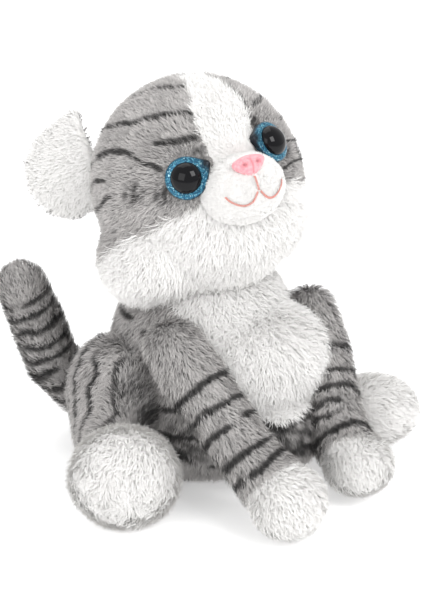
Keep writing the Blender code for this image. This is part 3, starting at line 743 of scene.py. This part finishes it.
def dress(obj, own, body, tone_of, dark_of, flow, panels, length, lift, look=None, **how):
    """Covers a bag in fur, one piece for each sewn panel, without the roots that another bag hides."""
    p, n = sample(obj.data, DENSITY)
    keep = p[:, 2] > 1.6
    for other in BAGS:
        if other != own:
            keep &= inside(other, p) < 4.0
    if look is not None:
        keep &= look(p)
    p, n = p[keep], n[keep]
    tone, panel = tone_of(p)
    for number, (name, nodes, slot, longer) in enumerate(panels):
        here = panel == number
        if not here.any():
            continue
        q, m = p[here], n[here]
        size = (length(q) if callable(length) else np.full(len(q), float(length))) * longer
        tint = tone[here] + rng.normal(0, 0.04, len(q))
        made = strands(name, body, q, m, flow(q, m), tint, dark_of, size, lift, **how)
        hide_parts(*nodes)
    co = to_mm(coords(obj.data))
    tones = obj.data.attributes.new("shade", "FLOAT", "POINT")
    tone = tone_of(co)[0]
    tones.data.foreach_set("value", (tone - DARKEN * dark_of(co) * (tone < 0.7)).astype(np.float32))
    obj.data.materials.clear()
    obj.data.materials.append(BACKING)
    obj.data.shade_smooth()
    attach(obj, body)


# ---------------------------------------------------------------- torso
made = bmesh.new()
add_torso(made, INSET)
add_ball(made, CHEST, [r - INSET for r in CHEST_RADII], detail=5)
add_ball(made, BELLY, BELLY_RADII, detail=5)
torso = stuff(bag("torso_bag", made), lambda p: (np.abs(p[:, 0]) < 1.6) & (p[:, 1] > TORSO_Y) | (p[:, 2] < 8))
dress(torso, "torso", "torso", torso_tone, torso_dark, torso_flow, [
    ("torso_right_fur", ["torso_right_panel"], "grey_fur", 1.0),
    ("torso_left_fur", ["torso_left_panel"], "grey_fur", 1.0),
    ("chest_fur", ["chest_bib"], "white_fur", 1.1),
], 7.0, 0.50)
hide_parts("seat_panel", "torso_stuffing", "pellet_pouch")


# ---------------------------------------------------------------- head
def eye_place(x, z, out=0.0):
    """A point on the front of the head in the head's frame, and the outward direction there."""
    rx, ry, rz = HEAD_RADII
    y = -ry * math.sqrt(1 - (x / rx) ** 2 - (z / rz) ** 2)
    normal = Vector((x / rx ** 2, y / ry ** 2, z / rz ** 2)).normalized()
    return Vector((x, y, z)) + normal * out, normal


def head_length(p):
    q = to_head(p)
    size = 6.8 + 2.4 * step(-8, -30, q[:, 2])
    face = np.linalg.norm(q - np.array([0, -58, -6]), axis=1)
    size *= 0.45 + 0.55 * step(20, 34, face)
    for x, z in EYES.values():
        eye = np.array(eye_place(x, z)[0])
        size *= 0.35 + 0.65 * step(RING_RADIUS, RING_RADIUS + 10, np.linalg.norm(q - eye, axis=1))
    return size


def head_seen(p):
    q = to_head(p)
    seen = np.ones(len(q), bool)
    for x, z in EYES.values():
        eye = np.array(eye_place(x, z)[0])
        seen &= np.linalg.norm(q - eye, axis=1) > RING_RADIUS - 0.4
    return seen


made = bmesh.new()
turn = HEAD_TURN.to_matrix().to_4x4()
add_ball(made, HEAD_CENTRE, HEAD_RADII - Vector((HEAD_INSET,) * 3), turn, 5)
add_ball(made, HEAD @ Vector((-33, 3, -25)), (25, 27, 23), turn, 5)
add_ball(made, HEAD @ Vector((25, 2, -24)), (21, 25, 21), turn, 5)
add_ball(made, HEAD @ Vector((0, -14, -24)), (32, 27, 22), turn, 5)
add_ball(made, HEAD @ Vector((2.5, -42, 8)), (12.5, 12.5, 19), turn, 5)
head = stuff(bag("head_bag", made, smooth=14), lambda p: np.abs(to_head(p)[:, 2] + 13.5) < 1.2)
dress(head, "head", "head", head_tone, head_dark, head_flow, [
    ("head_right_fur", ["head_right_panel"], "grey_fur", 1.0),
    ("head_left_fur", ["head_left_panel"], "grey_fur", 1.0),
    ("forehead_blaze_fur", ["forehead_blaze"], "white_fur", 0.85),
    ("cheek_chin_fur", ["cheek_chin_panel"], "white_fur", 1.1),
], head_length, 0.48, head_seen)
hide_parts("head_stuffing")

# ---------------------------------------------------------------- muzzle, nose and mouth
made = bmesh.new()
add_ball(made, HEAD @ MUZZLE_CENTRE, MUZZLE_RADII - Vector((0.9,) * 3), turn, 5)
muzzle = bag("muzzle_bag", made, 2, 1.6)
muzzle.data.materials.append(PILE_WHITE)
muzzle.data.shade_smooth()
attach(muzzle, "head")
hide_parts("muzzle_cover", "muzzle_stuffing")
p, n = sample(muzzle.data, 6.0)
q = to_head(p)
keep = in_ball(q, (0, 0, 0), HEAD_RADII - Vector((1.5,) * 3)) < 0
p, n, q = p[keep], n[keep], q[keep]
tint = np.clip(0.93 + rng.normal(0, 0.02, len(p)), 0.01, 0.99)
flow = unit(q - np.array([0, -66, -6])) @ HEAD_R.T
pile = strands("muzzle_pile", "head", p, n, flow, tint, no_dark, np.full(len(p), 1.7), 0.7, 0.26, 0.3, 9, 0.5)


def nose_shape(obj):
    """A rounded triangle, point down, with two nostrils and a sewn line down its middle."""
    co = coords(obj.data)
    x, y, z = co.T
    co[:, 0] = x * (1.0 + 0.085 * z)
    co[:, 2] = z * np.where(z > 0, 0.86, 1.12) - 0.05 * np.abs(x)
    hole = np.zeros(len(co))
    for hand in (-1, 1):
        hole = np.maximum(hole, np.exp(-((x - hand * 3.5) / 1.5) ** 2 - ((z - 0.3) / 1.0) ** 2))
    line = np.exp(-(x / 0.45) ** 2) * (z < 2.5)
    co[:, 1] += (1.3 * hole + 0.5 * line) * (y < 0)
    # The depth of each dent also darkens the pink there: painted shade in the nostrils and along the sewn
    # groove.
    deep = obj.data.attributes.new("deep", "FLOAT", "POINT")
    deep.data.foreach_set("value", np.clip(hole + 0.6 * line, 0, 1).astype(np.float32))
    set_coords(obj.data, co)


def placed(name, made):
    """An object from a bmesh in millimetres in the head's frame."""
    mesh = bpy.data.meshes.new(name)
    made.to_mesh(mesh)
    made.free()
    obj = bpy.data.objects.new(name, mesh)
    bpy.context.scene.collection.objects.link(obj)
    mesh.shade_smooth()
    return obj


INTO_ROW = Matrix.Translation(KITTEN) @ Matrix.Diagonal((MM, MM, MM, 1)) @ HEAD
made = bmesh.new()
bmesh.ops.create_uvsphere(made, u_segments=72, v_segments=48, radius=1.0,
                          matrix=Matrix.Diagonal((8.0, 4.3, 5.0, 1)))
nose = placed("nose", made)
nose_shape(nose)
nose.data.transform(INTO_ROW @ Matrix.Translation(NOSE_AT) @ Matrix.Rotation(math.radians(8), 4, "X"))
nose.data.materials.append(PILE_PINK)
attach(nose, "head")
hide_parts("nose_patch")


def on_muzzle(x, z, out):
    rx, ry, rz = MUZZLE_RADII + Vector((out,) * 3)
    rise = max(0.0, 1 - (x / rx) ** 2 - (z / rz) ** 2)
    return MUZZLE_CENTRE + Vector((x, -ry * math.sqrt(rise), z))


def stitched(name, lines, reach=0.66, gap=0.38, radius=0.24):
    """A line of satin stitch: short threads laid across it, side by side."""
    made = bmesh.new()
    for line in lines:
        points = [on_muzzle(x, z, 0.25) for x, z in line]
        fine = []
        for i in range(len(points) - 1):
            a, b, c, d = (points[max(0, min(len(points) - 1, i + k))] for k in (-1, 0, 1, 2))
            for t in np.linspace(0, 1, 24, endpoint=False):
                fine.append(0.5 * (2 * b + (c - a) * t + (2 * a - 5 * b + 4 * c - d) * t * t
                                   + (3 * b - a - 3 * c + d) * t ** 3))
        walked = 0.0
        for a, b in zip(fine[:-1], fine[1:]):
            walked += (b - a).length
            if walked < gap:
                continue
            walked = 0.0
            out = (a - MUZZLE_CENTRE).normalized()
            way = (b - a).normalized()
            across = (out.cross(way) + way * 0.35).normalized()
            basis = Matrix((across, way, out)).transposed().to_4x4()
            bmesh.ops.create_uvsphere(made, u_segments=10, v_segments=8, radius=1.0,
                                      matrix=Matrix.Translation(a) @ basis
                                      @ Matrix.Diagonal((reach, radius, radius, 1)))
    obj = placed(name, made)
    obj.data.transform(INTO_ROW)
    obj.data.materials.append(THREAD)
    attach(obj, "head")
    return obj


SMILE = [(-15.5, -3.0), (-14, -5.6), (-11, -8.4), (-7.5, -9.9), (-3.8, -9.2), (-0.7, -5.6)]
mouth = stitched("mouth_thread", [SMILE, [(-x, z) for x, z in SMILE], [(0, 2.0), (0, -1.5), (0, -5.4)]])
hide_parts("mouth_stitching")


# ---------------------------------------------------------------- eyes
def eye_parts(side):
    x, z = EYES[side]
    at, out = eye_place(x, z)
    inward = Vector((-math.copysign(1, x), 0, 0.25))
    inward = (inward - out * inward.dot(out)).normalized()
    up = out.cross(inward)
    frame_of = Matrix.Translation(at) @ Matrix((inward, up, out)).transposed().to_4x4()
    made = bmesh.new()
    rim = made.verts.layers.float.new("rim")
    rings = []
    for share, height in ((0.0, 1.55), (0.6, 1.55), (0.8, 1.5), (0.93, 1.2), (1.0, 0.6), (1.0, -1.5)):
        ring = []
        for angle in np.linspace(0, 2 * math.pi, 96, endpoint=False):
            bend = abs((angle + math.pi) % (2 * math.pi) - math.pi)
            reach = RING_RADIUS + 3.2 * math.exp(-(bend / 0.30) ** 1.5)
            vert = made.verts.new((reach * share * math.cos(angle), reach * share * math.sin(angle), height))
            corner = math.exp(-(bend / 0.28) ** 2) * max(0.0, (reach * share - 8.6) / 2.0)
            vert[rim] = min(1.0, corner + (0.75 if share == 1.0 else 0.0))
            ring.append(vert)
        rings.append(ring)
    for inner, outer in zip(rings[:-1], rings[1:]):
        for i in range(96):
            j = (i + 1) % 96
            made.faces.new((inner[i], outer[i], outer[j], inner[j]))
    bmesh.ops.remove_doubles(made, verts=made.verts, dist=1e-4)
    disc = placed(f"{side}_eye_disc", made)
    disc.data.transform(INTO_ROW @ frame_of)
    disc.data.materials.append(GLITTER)
    made = bmesh.new()
    bmesh.ops.create_uvsphere(made, u_segments=64, v_segments=40, radius=1.0,
                              matrix=Matrix.Translation((0, 0, 1.3))
                              @ Matrix.Diagonal((PUPIL_RADIUS, PUPIL_RADIUS, PUPIL_HEIGHT, 1)))
    dome = placed(f"{side}_eye_dome", made)
    dome.data.transform(INTO_ROW @ frame_of)
    dome.data.materials.append(EYE)
    for obj, node, slot in ((disc, f"{side}_eye_glitter_ring", "eye_glitter"),
                            (dome, f"{side}_eye", "eye_black")):
        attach(obj, "head")
        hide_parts(node)


for side in EYES:
    eye_parts(side)


# ---------------------------------------------------------------- ears
def ear(side):
    hand = -1 if side == "right" else 1
    seam = Vector((hand * EAR_SEAM.x, EAR_SEAM.y, EAR_SEAM.z))
    stand = (Matrix.Translation(seam) @ Matrix.Rotation(hand * EAR_SWEEP, 4, "Z")
             @ Matrix.Rotation(hand * EAR_LEAN, 4, "Y"))
    place = HEAD @ stand
    made = bmesh.new()
    for u in np.linspace(-1, 1, 41):
        for v in np.linspace(0, 1, 33):
            x = u * (EAR_HALF_WIDTH - 2.5)
            top = EAR_HEIGHT - 3
            width = math.sqrt(max(0.0, 1 - (max(0.0, v * top - 17) / (top - 17)) ** 2.2))
            if abs(u) > width + 1e-6:
                continue
            z = v * top
            y = -EAR_CUP + 0.5 + 8.5 * (x / 25) ** 2 + 3.0 * (z / 42 - 0.4) ** 2
            add_ball(made, place @ Vector((x, y, z)), (2.1,) * 3, detail=1)
    obj = bag(f"{side}_ear_bag", made, 8, 1.5)
    back = np.array(place)
    inverse = np.linalg.inv(back)

    def own(p):
        return p @ inverse[:3, :3].T + inverse[:3, 3]

    def tone_of(p):
        q = own(p)
        inner = q[:, 1] < -EAR_CUP + 0.5 + 8.5 * (q[:, 0] / 25) ** 2 + 3.0 * (q[:, 2] / 42 - 0.4) ** 2
        return np.where(inner, 0.93, grey_tone(p, 91)), np.where(inner, 0, 1)

    def flow(p, n):
        q = own(p)
        local = np.stack([q[:, 0] * 0.03, 0 * q[:, 0], np.ones(len(q))], 1)
        return local @ back[:3, :3].T

    dress(obj, "head", f"{side}_ear", tone_of, no_dark, flow, [
        (f"{side}_ear_front_fur", [f"{side}_ear_front"], "white_fur", 0.8),
        (f"{side}_ear_back_fur", [f"{side}_ear_back"], "grey_fur", 1.0),
    ], 4.6, 0.40)


for side in ("right", "left"):
    ear(side)

# ---------------------------------------------------------------- legs
for side in ("right", "left"):
    hand, stations, paw = legs(side)
    made = bmesh.new()
    add_tube(made, stations, INSET)
    add_ball(made, paw, [r - INSET for r in FOREPAWS[side][1]])
    leg = stuff(bag(f"{side}_foreleg_bag", made), no_seams)
    dress(leg, f"{side}_foreleg", f"{side}_foreleg", *foreleg_prints(side), foreleg_flow(side), [
        (f"{side}_foreleg_fur", [f"{side}_foreleg_cover"], "grey_fur", 1.0),
        (f"{side}_forepaw_fur", [f"{side}_forepaw_cover"], "white_fur", 0.8),
    ], 6.6, 0.50)
    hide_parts(f"{side}_foreleg_stuffing")

for side in ("right", "left"):
    hand = -1 if side == "right" else 1
    foot, radii, angle = FEET[side]
    made = bmesh.new()
    add_tube(made, SHANKS[side], INSET)
    add_ball(made, HAUNCHES[side], [r - INSET for r in HAUNCH_RADII])
    add_ball(made, foot, [r - THIN_INSET for r in radii], Matrix.Rotation(math.radians(angle), 4, "Z"))
    leg = stuff(bag(f"{side}_hindleg_bag", made, 10), no_seams)
    dress(leg, f"{side}_hindleg", f"{side}_hindleg", *hindleg_print_and_shade(side), hindleg_flow(side), [
        (f"{side}_hindleg_fur", [f"{side}_hindleg_cover"], "grey_fur", 1.0),
        (f"{side}_hindfoot_fur", [f"{side}_hindfoot_cover"], "white_fur", 0.9),
    ], 7.0, 0.50)
    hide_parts(f"{side}_hindleg_stuffing")

# ---------------------------------------------------------------- tail
made = bmesh.new()
add_tube(made, TAIL, THIN_INSET)
tail = stuff(bag("tail_bag", made), no_seams)
dress(tail, "tail", "tail", tail_tone, tail_dark, tail_flow, [
    ("tail_fur", ["tail_cover"], "grey_fur", 1.0),
], 7.0, 0.50)
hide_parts("tail_stuffing")

# ---------------------------------------------------------------- fillings and washers keep their shapes
INSIDES = {"stuffing": FIBRE, "washer": WASHER}
for name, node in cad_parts.items():
    for ending, material in INSIDES.items():
        if name.endswith(ending):
            node.data.materials.clear()
            node.data.materials.append(material)


# ---------------------------------------------------------------- floor, light and camera
def stage_light(name, at, target, size, power):
    data = bpy.data.lights.new(name, "AREA")
    data.shape = "RECTANGLE"
    data.size, data.size_y = size
    data.energy = power
    obj = bpy.data.objects.new(name, data)
    bpy.context.scene.collection.objects.link(obj)
    obj.location = at
    obj.rotation_euler = (Vector(target) - Vector(at)).to_track_quat("-Z", "Y").to_euler()
    return obj


mesh = bpy.data.meshes.new("floor")
made = bmesh.new()
bmesh.ops.create_grid(made, x_segments=1, y_segments=1, size=6.0)
made.to_mesh(mesh)
made.free()
floor = bpy.data.objects.new("floor", mesh)
bpy.context.scene.collection.objects.link(floor)
paper, _, paper_shader = new_material("white_paper", 0.9)
paper_shader.inputs["Base Color"].default_value = (0.95, 0.95, 0.95, 1)
paper_shader.inputs["Specular IOR Level"].default_value = 0.1
paper_shader.inputs["Emission Color"].default_value = (1, 1, 1, 1)
paper_shader.inputs["Emission Strength"].default_value = 0.35
mesh.materials.append(paper)

middle = KITTEN + Vector((0, 0.015, 0.09))
stage_light("key_light", middle + Vector((0.10, -1.1, 1.05)), middle, (0.7, 0.7), 11)
stage_light("fill_light", middle + Vector((-1.3, -0.5, 0.7)), middle, (0.9, 0.9), 5)
stage_light("top_light", middle + Vector((0.1, 0.6, 1.3)), middle, (1.2, 1.2), 6)

world = bpy.data.worlds.new("studio")
bpy.context.scene.world = world
world.use_nodes = True
background = world.node_tree.nodes["Background"]
background.inputs[0].default_value = (1.0, 1.0, 1.0, 1)
light_path = world.node_tree.nodes.new("ShaderNodeLightPath")
strength = world.node_tree.nodes.new("ShaderNodeMapRange")
strength.inputs["To Min"].default_value = 0.90
strength.inputs["To Max"].default_value = 1.0
world.node_tree.links.new(light_path.outputs["Is Camera Ray"], strength.inputs["Value"])
world.node_tree.links.new(strength.outputs["Result"], background.inputs[1])
bpy.context.scene.view_settings.view_transform = "Standard"

view = bpy.data.cameras.new("camera")
view.sensor_fit = "VERTICAL"
view.sensor_height = 24
view.lens = 80
camera = bpy.data.objects.new("camera", view)
bpy.context.scene.collection.objects.link(camera)
target = KITTEN + Vector((0, 0.016, 0.086))
azimuth, elevation = math.radians(-36), math.radians(22)
camera.location = target + Vector((math.sin(azimuth) * math.cos(elevation),
                                   -math.cos(azimuth) * math.cos(elevation), math.sin(elevation)))
camera.rotation_euler = (target - camera.location).to_track_quat("-Z", "Y").to_euler()
bpy.context.scene.camera = camera

bpy.context.view_layer.update()
